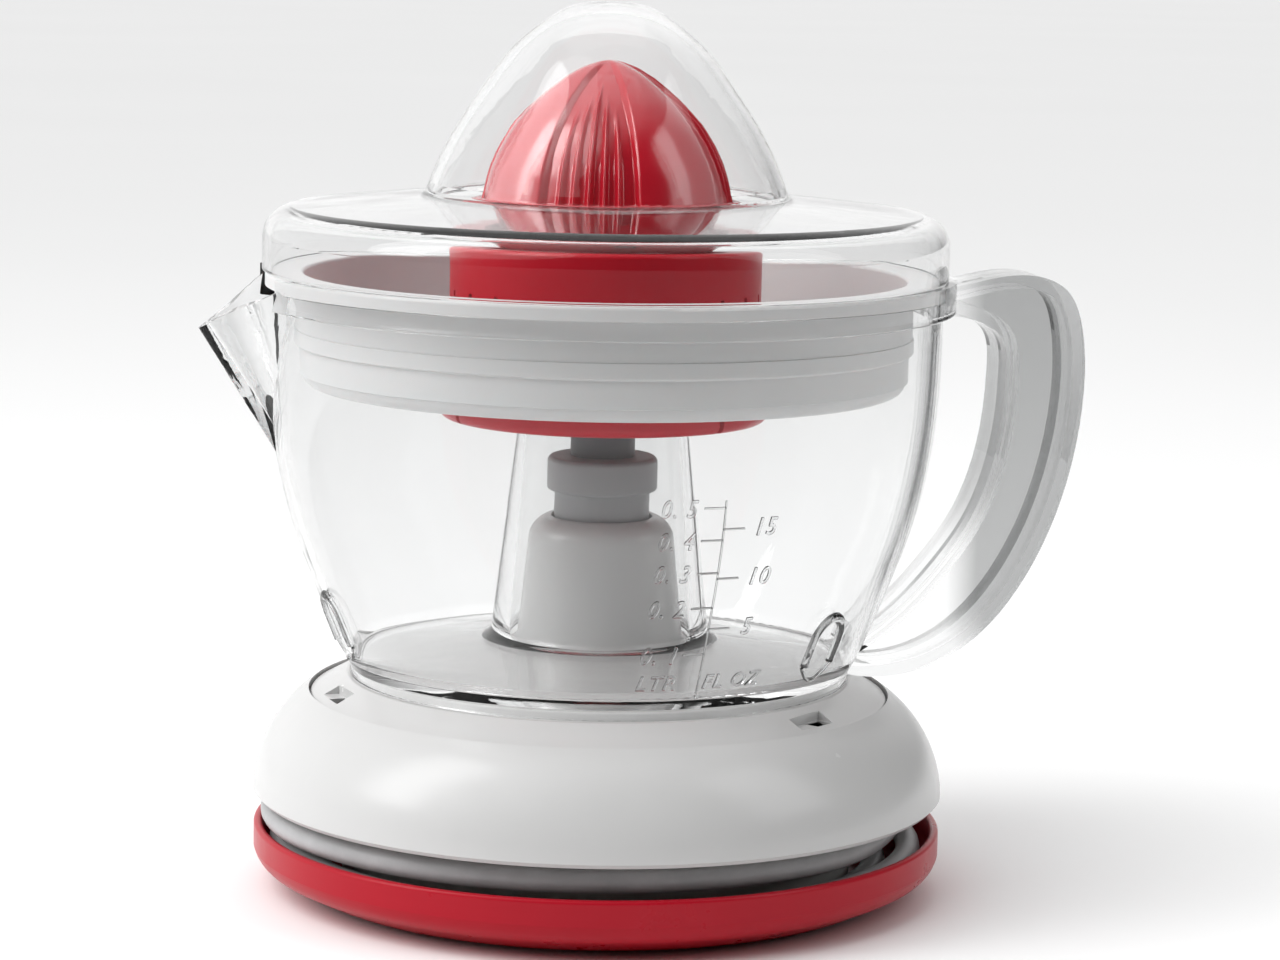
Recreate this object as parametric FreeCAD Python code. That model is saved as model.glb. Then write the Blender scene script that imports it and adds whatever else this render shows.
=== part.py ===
"""Citrus press juicer: motor base with a wound cord, clear jug, pulp basket, strainer, reamer and lid.

Units are millimetres. +Z is up and is the spindle axis, Z = 0 is the table, the handle points to +X,
the spout to -X and the front of the base to -Y. Every function below makes one piece of the object.
"""
import FreeCAD, Part
import math
import os
from FreeCAD import Vector

# ---------------------------------------------------------------- base: tray, cord groove, housing, deck
TRAY_R = 78.15
TRAY_TOP = 14.7
TRAY_BOTTOM = 1.0
TRAY_FLOOR_TOP = 3.4
SHEET = 2.0
FOOT_R_IN, FOOT_R_OUT = 56.0, 60.0
FOOT_DEPTH = 1.8

SPOOL_R = 58.0
SPOOL_WALL = 2.4
CHASSIS_FLOOR_TOP = 5.4
GAP_TOP = 21.5
FLANGE_TOP = 23.5
FLANGE_R = 75.4

HOUSING_R = 78.4
HOUSING_WALL = 2.4
HOUSING_TOP = 44.7
LEDGE_TOP = 42.4
LEDGE_R = 64.3

DECK_R = 65.4
DECK_EDGE_Z = 44.0
JUG_SEAT_Z = 48.3
PLATEAU_R = 54.0
PLATEAU_Z = 50.2
RECESS_R = 61.5
RECESS_ANGLES = (72.0, 192.0, 312.0)

# ---------------------------------------------------------------- tower, spindle and coupling
TOWER_FOOT_R = 19.0
TOWER_FOOT_Z = 55.9
TOWER_HEAD_R = 16.0
TOWER_TOP = 84.4
WELL_R = 11.4
WELL_FLOOR = 78.5
SLEEVE_R_IN, SLEEVE_R_OUT = 8.0, 10.0
SLEEVE_BOTTOM = 59.0
SPINDLE_R = 4.0
SPINDLE_BOTTOM = 30.9
JOURNAL_R = 3.0
GROOVE_R = 3.4
RUNNING_GAP = 0.05
FIT = 0.02
HEX_FLATS = 6.9
HEX_Z0, HEX_Z1 = 36.8, 47.5
NECK_R, NECK_Z0 = 10.8, 83.4
COLLAR_R, COLLAR_Z0, COLLAR_Z1 = 12.5, 90.3, 98.0
SOCKET_FLATS, SOCKET_Z0 = 10.4, 91.5
KEY_FLATS = 10.0
REAMER_SHAFT_R = 7.3

# ---------------------------------------------------------------- gear train and motor
WHEEL_MODULE, WHEEL_TEETH = 0.8, 62
IDLER_PINION_TEETH = 10
IDLER_MODULE, IDLER_TEETH = 0.7, 60
ROTOR_PINION_TEETH = 10
ROTOR_Y = 22.0
PROFILE_SHIFT = 0.4
BACKLASH = 0.14
PLATE_Z0, PLATE_Z1 = 30.5, 33.0
COVER_Z0, COVER_Z1 = 44.8, 46.2
IDLER_Z0, IDLER_Z1, IDLER_Z2 = 33.6, 36.6, 43.4
WHEEL_Z0, WHEEL_Z1 = 38.0, 43.2
HUB_Z0, HUB_Z1 = 34.1, 44.6
AXLE_R = 1.5
CORE_Z0, CORE_Z1 = 11.0, 25.0
CORE_HALF_X, CORE_Y0, CORE_Y1 = 22.0, -36.0, 36.0
WINDOW_HALF_X, WINDOW_Y0, WINDOW_Y1 = 9.0, -28.0, 8.5
ROTOR_BORE_R, ROTOR_R = 11.5, 10.2
COIL_Y0, COIL_Y1 = -27.0, -6.0

# ---------------------------------------------------------------- jug, handle and spout
JUG_RIM_R, JUG_RIM_Z0, JUG_RIM_Z1 = 78.7, 132.5, 139.6
JUG_WALL = 2.2
FOOT_MIDDLE_R = 55.7
RIM_MIDDLE_R, RIM_MIDDLE_Z = 77.6, 134.4
JUG_LEDGE_R, JUG_LEDGE_Z = 76.5, 136.2
CHIMNEY_TOP = 108.0
CHIMNEY_R_TOP, CHIMNEY_R_BOTTOM, CHIMNEY_WALL = 18.9, 22.6, 1.8
SPOUT_TIP_X, SPOUT_TIP_Z = 91.0, 127.0
SPOUT_ROOT_Z = 100.0
SPOUT_HALF_ANGLE = 21.0
SPOUT_WALL = 1.9
HANDLE_WIDTH = 17.0
HANDLE_FLANGE = 3.0
HANDLE_WEB = 2.6
JUG_SIDE = [(57.2, 51.6), (58.6, 54.2), (61.8, 61.4), (66.2, 72.5), (70.1, 83.5), (73.3, 96.5),
            (75.2, 111.0), (75.8, 130.0)]
HANDLE_OUTSIDE = [(70.0, 137.0), (84.0, 138.4), (97.5, 139.8), (104.7, 136.8), (109.0, 127.0),
                  (109.6, 112.0), (106.5, 93.0), (97.5, 71.0), (85.5, 56.3), (75.0, 50.1), (66.0, 48.0),
                  (53.0, 49.4)]
HANDLE_INSIDE = [(70.0, 129.2), (84.0, 129.6), (89.7, 126.0), (91.2, 117.2), (89.5, 100.5), (83.5, 83.6),
                 (77.0, 74.2), (70.0, 66.2), (56.0, 55.5)]

# ---------------------------------------------------------------- basket, strainer, reamer and lid
BASKET_R = 69.4
BASKET_FLANGE_R = 76.2
BASKET_TOP = 139.4
BASKET_BOTTOM = 114.0
BASKET_HOLE_R = 35.5
STRAINER_R = 35.0
STRAINER_TOP = 147.7
STRAINER_WALL = 1.6
STRAINER_MOUTH_R = 27.2
PULP_RING_R, PULP_RING_Z0, PULP_RING_Z1 = 37.0, 106.8, 113.7
PULP_RING_SLOTS = (20.0, 125.0, 200.0, 305.0)
CONE_FLANGE_R, CONE_FLANGE_Z0, CONE_FLANGE_Z1 = 30.5, 154.0, 155.2
CONE_SIDE = [(29.0, 155.2), (26.4, 163.6), (22.0, 171.0), (17.6, 176.3), (12.5, 180.9), (6.5, 184.7),
             (0.0, 186.7)]
CONE_VALLEY = [(27.0, 155.2), (24.3, 163.3), (20.1, 170.4), (15.9, 175.6), (11.2, 179.9), (5.8, 183.7),
               (0.0, 185.7)]
CONE_WALL = 2.0
CONE_TIP_R = 2.4
CORE_SIDE = [(19.6, 157.0), (15.6, 165.0), (10.6, 172.4), (5.2, 177.2), (0.0, 179.2)]
CORE_TOP = 146.0
RIB_THICKNESS = 1.2
LUG_ANGLES = (30.0, 150.0, 270.0)
LOBE_ANGLES = (27.0, 117.0, 207.0, 297.0)
LOBE_WIDTH = 44.0
VALLEY_RIBS = (-14.0, -7.0, 0.0, 7.0, 14.0)
LID_R = 76.9
LID_WALL = 2.0
LID_BOTTOM = 139.7
DOME_SIDE = [(39.9, 159.6), (37.7, 164.9), (33.5, 172.9), (28.2, 180.9), (22.0, 189.2), (12.6, 196.9),
             (0.0, 200.0)]

# ---------------------------------------------------------------- mains cord
CORD_R = 2.75
COIL_R_IN, COIL_R_OUT = 59.3, 75.6
GROMMET_ANGLE = 130.0
GROMMET_Z = 8.6
TAIL_ROUTE = [(70.8, -5.0, 17.6), (72.8, 23.0, 18.1), (70.3, 49.0, 17.2), (60.0, 72.2, 12.0),
              (42.5, 88.6, 7.6), (25.0, 96.0, 7.0), (8.0, 96.0, 7.0)]
LEAD_WIRE_R = 0.9
PLUG_Y, PLUG_Z = 96.0, 7.0
PLUG_PIN_SPACING, PLUG_PIN_R, PLUG_PIN_LENGTH = 18.6, 2.0, 19.0
BOOT_X0, BOOT_X1 = 8.0, -10.0
PLUG_X1 = -42.0

ORIGIN = Vector(0, 0, 0)
UP = Vector(0, 0, 1)


# ================================================================ outlines
def corner_arc(before, corner, after, radius):
    """Start, middle and end of the arc that rounds a corner between two straight runs."""
    incoming = (corner - before).normalize()
    outgoing = (after - corner).normalize()
    half_turn = incoming.getAngle(outgoing) / 2
    bisector = (outgoing - incoming).normalize()
    centre = corner + bisector * (radius / math.cos(half_turn))
    trim = radius * math.tan(half_turn)
    return corner - incoming * trim, centre - bisector * radius, corner + outgoing * trim


def smooth(points, level_start=False, level_end=False):
    """A smooth edge through (x, z) points; a level end lies square to the axis."""
    vectors = [Vector(x, 0, z) for x, z in points]
    curve = Part.BSplineCurve()
    if level_start or level_end:
        first, last = vectors[1] - vectors[0], vectors[-1] - vectors[-2]
        if level_start:
            first = Vector(first.x, 0, 0)
        if level_end:
            last = Vector(last.x, 0, 0)
        curve.interpolate(Points=vectors, InitialTangent=first.normalize(), FinalTangent=last.normalize())
    else:
        curve.interpolate(Points=vectors)
    return curve.toShape()


def outline(*items):
    """A closed face in the XZ plane. A corner is (x, z) or (x, z, radius); an edge joins its neighbours."""
    knots = []
    for item in items:
        if isinstance(item, tuple):
            knots.append((Vector(item[0], 0, item[1]), item[2] if len(item) > 2 else 0, None))
        else:
            ends = [item.valueAt(item.FirstParameter), item.valueAt(item.LastParameter)]
            knots.append((ends[0], 0, item))
            knots.append((ends[1], 0, None))
    edges = []
    count = len(knots)
    exits = []
    entries = []
    for i, (corner, radius, _) in enumerate(knots):
        if radius:
            start, middle, end = corner_arc(knots[i - 1][0], corner, knots[(i + 1) % count][0], radius)
            edges.append(Part.Arc(start, middle, end).toShape())
        else:
            start = end = corner
        entries.append(start)
        exits.append(end)
    for i, (_, _, edge) in enumerate(knots):
        following = entries[(i + 1) % count]
        if edge is not None:
            edges.append(edge)
        elif exits[i].distanceToPoint(following) > 1e-6:
            edges.append(Part.makeLine(exits[i], following))
    return Part.Face(Part.Wire(Part.__sortEdges__(edges)))


def turned(*items):
    """The outline swept once round the spindle axis."""
    return outline(*items).revolve(ORIGIN, UP, 360)


def inset(points, distance):
    """The (x, z) points moved square to their line, to the right of its run for a positive distance."""
    moved = []
    for i, (x, z) in enumerate(points):
        x0, z0 = points[max(i - 1, 0)]
        x1, z1 = points[min(i + 1, len(points) - 1)]
        length = math.hypot(x1 - x0, z1 - z0)
        moved.append((x + (z1 - z0) / length * distance, z - (x1 - x0) / length * distance))
    return moved


# ================================================================ simple solids
def cylinder(radius, z0, z1, x=0.0, y=0.0):
    return Part.makeCylinder(radius, z1 - z0, Vector(x, y, z0))


def tube(r_in, r_out, z0, z1, x=0.0, y=0.0):
    return cylinder(r_out, z0, z1, x, y).cut(cylinder(r_in, z0, z1, x, y))


def block(x0, x1, y0, y1, z0, z1):
    return Part.makeBox(x1 - x0, y1 - y0, z1 - z0, Vector(x0, y0, z0))


def hexagon(flats, z0, z1):
    """A hexagonal prism on the spindle axis, by its width across flats."""
    radius = flats / 2 / math.cos(math.radians(30))
    corners = [Vector(radius * math.cos(math.radians(60 * i)), radius * math.sin(math.radians(60 * i)), z0)
               for i in range(7)]
    return Part.Face(Part.makePolygon(corners)).extrude(Vector(0, 0, z1 - z0))


def turned_to(shape, angle):
    """A copy of the shape, turned about the spindle axis."""
    copy = shape.copy()
    copy.rotate(ORIGIN, UP, angle)
    return copy


def ring_of(shape, angles):
    return [turned_to(shape, angle) for angle in angles]


def evenly(count, start=0.0):
    return [start + 360.0 * i / count for i in range(count)]


def polar(radius, angle):
    return radius * math.cos(math.radians(angle)), radius * math.sin(math.radians(angle))


def screw(x, y, head_r, head_z0, head_z1, shank_r, tip_z):
    """A self-tapping screw as head and shank; the tip may lie above or below the head."""
    low, high = (tip_z, head_z0) if tip_z < head_z0 else (head_z1, tip_z)
    head = cylinder(head_r, head_z0, head_z1, x, y)
    return head.fuse(cylinder(shank_r, low, high, x, y)).removeSplitter()


def rounded_tube(points, radius):
    """A round tube along straight runs joined by tangent arcs, each as large as its runs allow."""
    knots = [Vector(*point) for point in points]
    path = []
    start = knots[0]
    for before, corner, after in zip(knots, knots[1:], knots[2:]):
        shorter = min(before.distanceToPoint(corner), corner.distanceToPoint(after))
        half_turn = (corner - before).getAngle(after - corner) / 2
        bend = 0.45 * shorter / math.tan(half_turn)
        entry, middle, leave = corner_arc(before, corner, after, bend)
        path += [Part.makeLine(start, entry), Part.Arc(entry, middle, leave).toShape()]
        start = leave
    path.append(Part.makeLine(start, knots[-1]))
    section = Part.Wire(Part.makeCircle(radius, knots[0], knots[1] - knots[0]))
    return Part.Wire(path).makePipeShell([section], True, True)


# ================================================================ gears
IDLER_DISTANCE = WHEEL_MODULE * (WHEEL_TEETH + IDLER_PINION_TEETH) / 2
ROTOR_DISTANCE = IDLER_MODULE * (IDLER_TEETH + ROTOR_PINION_TEETH) / 2
IDLER_Y = (IDLER_DISTANCE ** 2 - ROTOR_DISTANCE ** 2 + ROTOR_Y ** 2) / (2 * ROTOR_Y)
IDLER_X = math.sqrt(IDLER_DISTANCE ** 2 - IDLER_Y ** 2)
IDLER_DIRECTION = math.degrees(math.atan2(IDLER_Y, IDLER_X))
ROTOR_DIRECTION = math.degrees(math.atan2(ROTOR_Y - IDLER_Y, -IDLER_X))


def spur_gear(teeth, module, shift, z0, z1, tooth_angle, x=0.0, y=0.0):
    """An involute spur gear with one tooth centred at tooth_angle, its flanks in short straight stretches."""
    pressure = math.radians(20)
    pitch_r = teeth * module / 2
    base_r = pitch_r * math.cos(pressure)
    tip_r = pitch_r + module * (1 + shift)
    root_r = pitch_r - module * (1.25 - shift)
    thickness = module * (math.pi / 2 + 2 * shift * math.tan(pressure)) - BACKLASH

    def half_angle(radius):
        slope = math.acos(min(1.0, base_r / radius))
        return thickness / 2 / pitch_r + (math.tan(pressure) - pressure) - (math.tan(slope) - slope)

    start_r = max(base_r, root_r)
    flank = [(root_r, half_angle(start_r))] if root_r < base_r else []
    for share in (0, 0.35, 0.7, 1):
        radius = start_r + (tip_r - start_r) * share
        flank.append((radius, half_angle(radius)))
    corners = []
    for tooth in range(teeth):
        centre = math.radians(tooth_angle) + 2 * math.pi * tooth / teeth
        side = [(r, centre - a) for r, a in flank] + [(r, centre + a) for r, a in reversed(flank)]
        corners += [Vector(x + r * math.cos(a), y + r * math.sin(a), z0) for r, a in side]
    return Part.Face(Part.makePolygon(corners + corners[:1])).extrude(Vector(0, 0, z1 - z0))


# ================================================================ base
TRAY_SCREWS = [polar(46.0, angle) for angle in (45, 135, 225, 315)]
PLATE_POSTS = [(29.5, -10.0), (-29.5, -10.0), (-27.0, 18.0), (28.0, 24.0)]
DECK_SCREWS = [polar(61.2, angle) for angle in (100, 220, 340)]
HOUSING_SCREWS = [polar(69.0, angle) for angle in (60, 180, 300)]
COVER_POSTS = [polar(29.0, angle) for angle in (150, 230, 310)]


def bottom_tray():
    """Red dish under the cord groove, with holes for its four screws and a groove for the foot."""
    dish = turned((0, TRAY_BOTTOM), (67.0, TRAY_BOTTOM, 5), (77.3, 6.0, 6), (TRAY_R, 9.0),
                  (TRAY_R, TRAY_TOP, 0.9), (TRAY_R - SHEET, TRAY_TOP, 0.9), (TRAY_R - SHEET, 8.0, 4),
                  (68.0, TRAY_FLOOR_TOP, 4), (0, TRAY_FLOOR_TOP))
    cuts = [tube(FOOT_R_IN, FOOT_R_OUT, TRAY_BOTTOM - 0.5, FOOT_DEPTH)]
    for x, y in TRAY_SCREWS:
        cuts.append(cylinder(3.1, TRAY_BOTTOM - 0.5, 2.3, x, y))
        cuts.append(cylinder(1.6, 2.0, 4.0, x, y))
    return dish.cut(cuts)


def foot_ring():
    """Rubber ring that stands on the table."""
    return turned((FOOT_R_IN, 0.0, 0.5), (FOOT_R_OUT, 0.0, 0.5), (FOOT_R_OUT, FOOT_DEPTH),
                  (FOOT_R_IN, FOOT_DEPTH))


def tray_screws():
    return Part.makeCompound([screw(x, y, 3.0, 1.1, 2.3, 1.4, 11.0) for x, y in TRAY_SCREWS])


def grommet_frame():
    """Place and direction of the cord's way through the spool wall, slanted along the groove."""
    x, y = polar(SPOOL_R - SPOOL_WALL / 2, GROMMET_ANGLE)
    direction = polar(1.0, GROMMET_ANGLE + 60.0)
    return Vector(x, y, GROMMET_Z), Vector(direction[0], direction[1], 0)


def grommet_rod(radius, inward, outward):
    """A rod along the cord's way through the wall."""
    place, direction = grommet_frame()
    return Part.makeCylinder(radius, inward + outward, place - direction * inward, direction)


def cord_spool():
    """Chassis of the base: floor, wall and roof of the cord groove, and the posts inside."""
    wall_in = SPOOL_R - SPOOL_WALL
    body = turned((0, TRAY_FLOOR_TOP), (SPOOL_R, TRAY_FLOOR_TOP), (SPOOL_R, GAP_TOP, 0.5),
                  (FLANGE_R, GAP_TOP), (FLANGE_R, FLANGE_TOP), (wall_in, FLANGE_TOP),
                  (wall_in, CHASSIS_FLOOR_TOP), (0, CHASSIS_FLOOR_TOP))
    posts = [cylinder(3.2, CHASSIS_FLOOR_TOP - 0.5, 12.0, x, y) for x, y in TRAY_SCREWS]
    posts += [cylinder(3.0, CHASSIS_FLOOR_TOP - 0.5, PLATE_Z0, x, y) for x, y in PLATE_POSTS]
    posts += [cylinder(5.0, CHASSIS_FLOOR_TOP - 0.5, 8.4, 0, ROTOR_Y)]
    posts += [block(x - 3, x + 3, y - 3, y + 3, CHASSIS_FLOOR_TOP - 0.5, CORE_Z0)
              for x in (-18.0, 18.0) for y in (-32.0, 31.0)]
    body = body.fuse(posts).removeSplitter()
    holes = [cylinder(1.4, TRAY_FLOOR_TOP - 0.5, 11.0, x, y) for x, y in TRAY_SCREWS]
    holes += [cylinder(1.3, 24.0, PLATE_Z0 + 0.5, x, y) for x, y in PLATE_POSTS]
    holes += [cylinder(3.0, CHASSIS_FLOOR_TOP, 9.0, 0, ROTOR_Y), grommet_rod(3.6, 9, 9)]
    for x, y in DECK_SCREWS + HOUSING_SCREWS:
        holes.append(cylinder(1.7, GAP_TOP - 0.5, FLANGE_TOP + 0.5, x, y))
    return body.cut(holes)


def base_housing():
    """White outer casing: a full rounded shoulder over the cord groove."""
    mouth_r = DECK_R + 0.5
    lining_r = HOUSING_R - HOUSING_WALL
    shoulder = Part.Arc(Vector(HOUSING_R, 0, GAP_TOP + 1.0), Vector(74.6, 0, 35.6),
                        Vector(mouth_r, 0, HOUSING_TOP))
    lining = Part.Arc(Vector(66.2, 0, LEDGE_TOP - SHEET), Vector(72.5, 0, 34.1),
                      Vector(lining_r, 0, FLANGE_TOP))
    shell = turned((HOUSING_R - 1.0, GAP_TOP), shoulder.toShape(), (mouth_r, LEDGE_TOP),
                   (LEDGE_R, LEDGE_TOP), (LEDGE_R, LEDGE_TOP - SHEET), lining.toShape(), (lining_r, GAP_TOP))
    bosses = [cylinder(3.0, FLANGE_TOP, 37.0, x, y) for x, y in HOUSING_SCREWS]
    holes = [cylinder(1.3, FLANGE_TOP - 0.5, 34.0, x, y) for x, y in HOUSING_SCREWS]
    return shell.fuse(bosses).removeSplitter().cut(holes)


def top_deck():
    """White deck with the jug seat, the raised middle, the drive tower and three locating recesses."""
    shell = turned((DECK_R, LEDGE_TOP), (DECK_R, DECK_EDGE_Z, 0.5), (57.3, JUG_SEAT_Z, 1),
                   (54.6, JUG_SEAT_Z), (PLATEAU_R, PLATEAU_Z, 0.8), (TOWER_FOOT_R, TOWER_FOOT_Z, 3.5),
                   (TOWER_HEAD_R, TOWER_TOP, 5.0), (WELL_R, TOWER_TOP, 0.4), (WELL_R, WELL_FLOOR),
                   (SLEEVE_R_IN, WELL_FLOOR),
                   (SLEEVE_R_IN, SLEEVE_BOTTOM), (SLEEVE_R_OUT, SLEEVE_BOTTOM), (SLEEVE_R_OUT, 75.0),
                   (14.0, 75.0, 1.5), (16.8, 53.8, 3.5), (51.6, 48.2), (51.6, 46.0), (56.8, 45.9),
                   (LEDGE_R, 43.2), (LEDGE_R, LEDGE_TOP))
    bosses = [cylinder(2.8, FLANGE_TOP, 44.5, x, y) for x, y in DECK_SCREWS]
    shell = shell.fuse(bosses).removeSplitter()
    holes = [cylinder(1.3, FLANGE_TOP - 0.5, 36.0, x, y) for x, y in DECK_SCREWS]
    pocket = block(RECESS_R - 2.2, RECESS_R + 2.2, -8.0, 3.0, DECK_EDGE_Z + 1.1, JUG_SEAT_Z)
    slot = block(RECESS_R - 1.8, RECESS_R + 1.8, -2.6, 2.6, LEDGE_TOP - 1, JUG_SEAT_Z)
    holes += ring_of(pocket, RECESS_ANGLES) + ring_of(slot, RECESS_ANGLES)
    return shell.cut(holes)


def housing_screws():
    """Six equal screws up through the roof of the cord groove, into the deck and the housing."""
    screws = [screw(x, y, 2.5, GAP_TOP - 1.2, GAP_TOP, 1.3, 33.0) for x, y in DECK_SCREWS + HOUSING_SCREWS]
    return Part.makeCompound(screws)


# ================================================================ motor
def stator_core():
    """U-shaped lamination stack, its open end bored for the rotor."""
    core = block(-CORE_HALF_X, CORE_HALF_X, CORE_Y0, CORE_Y1, CORE_Z0, CORE_Z1)
    window = block(-WINDOW_HALF_X, WINDOW_HALF_X, WINDOW_Y0, WINDOW_Y1, CORE_Z0, CORE_Z1)
    bore = cylinder(ROTOR_BORE_R, CORE_Z0, CORE_Z1, 0, ROTOR_Y)
    gap = block(-3.0, 3.0, WINDOW_Y1 - 1, CORE_Y1, CORE_Z0, CORE_Z1)
    return core.cut([window, bore, gap])


def leg_sleeve(grow, y0, y1):
    """A block round one leg of the core, wider than the leg by grow on each side."""
    return block(WINDOW_HALF_X - grow, CORE_HALF_X + grow, y0, y1, CORE_Z0 - grow, CORE_Z1 + grow)


def coil_bobbin(side):
    """Plastic former of one coil: a sleeve with two end flanges."""
    sleeve = leg_sleeve(0.9, COIL_Y0, COIL_Y1)
    flanges = [leg_sleeve(3.8, COIL_Y0, COIL_Y0 + 1.0), leg_sleeve(3.8, COIL_Y1 - 1.0, COIL_Y1)]
    bobbin = sleeve.fuse(flanges).removeSplitter().cut(leg_sleeve(0.1, COIL_Y0 - 1, COIL_Y1 + 1))
    return bobbin if side > 0 else bobbin.mirror(ORIGIN, Vector(1, 0, 0))


def winding(side):
    """Copper winding of one coil, rounded along its length."""
    copper = leg_sleeve(3.3, COIL_Y0 + 1.0, COIL_Y1 - 1.0)
    long_edges = [edge for edge in copper.Edges if abs(edge.tangentAt(edge.FirstParameter).y) > 0.9]
    copper = copper.makeFillet(2.5, long_edges).cut(leg_sleeve(0.9, COIL_Y0, COIL_Y1))
    return copper if side > 0 else copper.mirror(ORIGIN, Vector(1, 0, 0))


def rotor_magnet():
    return tube(AXLE_R, ROTOR_R, 10.0, 26.0, 0, ROTOR_Y)


def rotor_shaft():
    return cylinder(AXLE_R, CHASSIS_FLOOR_TOP + 0.1, 37.6, 0, ROTOR_Y)


def rotor_pinion():
    pinion = spur_gear(ROTOR_PINION_TEETH, IDLER_MODULE, PROFILE_SHIFT, 33.5, 37.2,
                       ROTOR_DIRECTION + 180 + 180 / ROTOR_PINION_TEETH, 0, ROTOR_Y)
    return pinion.cut(cylinder(AXLE_R, 33, 38, 0, ROTOR_Y))


def rotor_bush_lower():
    return tube(AXLE_R + RUNNING_GAP, 3.0, CHASSIS_FLOOR_TOP, 8.4, 0, ROTOR_Y)


def rotor_bush_upper():
    return tube(AXLE_R + RUNNING_GAP, 3.2, PLATE_Z0, PLATE_Z1 + 0.2, 0, ROTOR_Y)


# ================================================================ gearbox
def gearbox_plate():
    """Metal plate over the motor: carries the rotor's upper bush, the idler's axle and the spindle foot."""
    plate = cylinder(35.0, PLATE_Z0, PLATE_Z1).fuse(cylinder(24.0, PLATE_Z0, PLATE_Z1, IDLER_X, IDLER_Y))
    posts = [cylinder(2.4, PLATE_Z1 - 0.5, COVER_Z0, x, y) for x, y in COVER_POSTS]
    plate = plate.fuse(posts).removeSplitter()
    holes = [cylinder(5.0, PLATE_Z0, PLATE_Z1), cylinder(3.2, PLATE_Z0, PLATE_Z1, 0, ROTOR_Y),
             cylinder(AXLE_R, PLATE_Z0, PLATE_Z1, IDLER_X, IDLER_Y)]
    for x, y in PLATE_POSTS:
        holes += [cylinder(1.5, PLATE_Z0, PLATE_Z1, x, y), cylinder(2.5, PLATE_Z1 - 1.2, PLATE_Z1, x, y)]
    holes += [cylinder(1.1, 38.0, COVER_Z0, x, y) for x, y in COVER_POSTS]
    return plate.cut(holes)


def gearbox_screws():
    screws = [screw(x, y, 2.4, PLATE_Z1 - 1.2, PLATE_Z1, 1.3, 24.2) for x, y in PLATE_POSTS]
    return Part.makeCompound(screws)


def gearbox_cover():
    """Top plate of the gearbox, open in the middle for the spindle and its spring."""
    cover = cylinder(31.8, COVER_Z0, COVER_Z1).fuse(cylinder(22.4, COVER_Z0, COVER_Z1, IDLER_X, IDLER_Y))
    holes = [cylinder(9.0, COVER_Z0, COVER_Z1), cylinder(AXLE_R, COVER_Z0, COVER_Z1, IDLER_X, IDLER_Y)]
    holes += [cylinder(1.3, COVER_Z0, COVER_Z1, x, y) for x, y in COVER_POSTS]
    return cover.removeSplitter().cut(holes)


def cover_screws():
    screws = [screw(x, y, 2.4, COVER_Z1, COVER_Z1 + 1.2, 1.1, 38.2) for x, y in COVER_POSTS]
    return Part.makeCompound(screws)


def idler_axle():
    return cylinder(AXLE_R, PLATE_Z0, COVER_Z1, IDLER_X, IDLER_Y)


def idler_gear():
    """Compound gear: the large wheel meshes with the rotor pinion, its own pinion with the drive gear."""
    wheel = spur_gear(IDLER_TEETH, IDLER_MODULE, -PROFILE_SHIFT, IDLER_Z0, IDLER_Z1, ROTOR_DIRECTION,
                      IDLER_X, IDLER_Y)
    pinion = spur_gear(IDLER_PINION_TEETH, WHEEL_MODULE, PROFILE_SHIFT, IDLER_Z1, IDLER_Z2,
                       IDLER_DIRECTION + 180 + 180 / IDLER_PINION_TEETH, IDLER_X, IDLER_Y)
    return wheel.fuse(pinion).cut(cylinder(AXLE_R + RUNNING_GAP, 33, 44, IDLER_X, IDLER_Y))


def drive_gear():
    """Large gear that turns the spindle through a hexagonal bore, so that the spindle can still slide."""
    wheel = spur_gear(WHEEL_TEETH, WHEEL_MODULE, -PROFILE_SHIFT, WHEEL_Z0, WHEEL_Z1, IDLER_DIRECTION)
    recess = tube(9.5, 20.5, WHEEL_Z0 + 3.2, WHEEL_Z1)
    hub = cylinder(6.5, HUB_Z0, HUB_Z1)
    return wheel.cut(recess).fuse(hub).cut(hexagon(HEX_FLATS + 0.2, HUB_Z0, HUB_Z1))


# ================================================================ spindle
def spindle_shaft():
    """Steel spindle: round foot, hexagon in the gear, round body in the two bushes."""
    foot = cylinder(JOURNAL_R, SPINDLE_BOTTOM, HEX_Z0)
    body = cylinder(SPINDLE_R, HEX_Z1, 91.0)
    groove = tube(GROOVE_R, 5.0, 56.95, 57.95)
    return foot.fuse([hexagon(HEX_FLATS, HEX_Z0, HEX_Z1), body]).cut(groove)


def spindle_foot_bush():
    """Flanged bush in the gearbox plate, under the hub of the drive gear."""
    return turned((JOURNAL_R + RUNNING_GAP, PLATE_Z0), (5.0, PLATE_Z0), (5.0, PLATE_Z1), (6.9, PLATE_Z1),
                  (6.9, HUB_Z0 - 0.1), (JOURNAL_R + RUNNING_GAP, HUB_Z0 - 0.1))


def spindle_bush(z0):
    return tube(SPINDLE_R + RUNNING_GAP, SLEEVE_R_IN, z0, z0 + 6.0)


def thrust_washer():
    return tube(SPINDLE_R + 0.1, 7.6, SLEEVE_BOTTOM - 1.0, SLEEVE_BOTTOM)


def spindle_seal():
    """Lip seal at the bottom of the well in the tower head."""
    bore_r = SPINDLE_R + RUNNING_GAP
    return turned((bore_r, WELL_FLOOR), (WELL_R, WELL_FLOOR), (WELL_R, WELL_FLOOR + 1.4),
                  (6.5, WELL_FLOOR + 1.4), (4.8, WELL_FLOOR + 2.1), (bore_r, WELL_FLOOR + 2.1))


def spindle_clip():
    return tube(GROOVE_R + FIT, 6.4, 57.0, 57.9)


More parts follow.
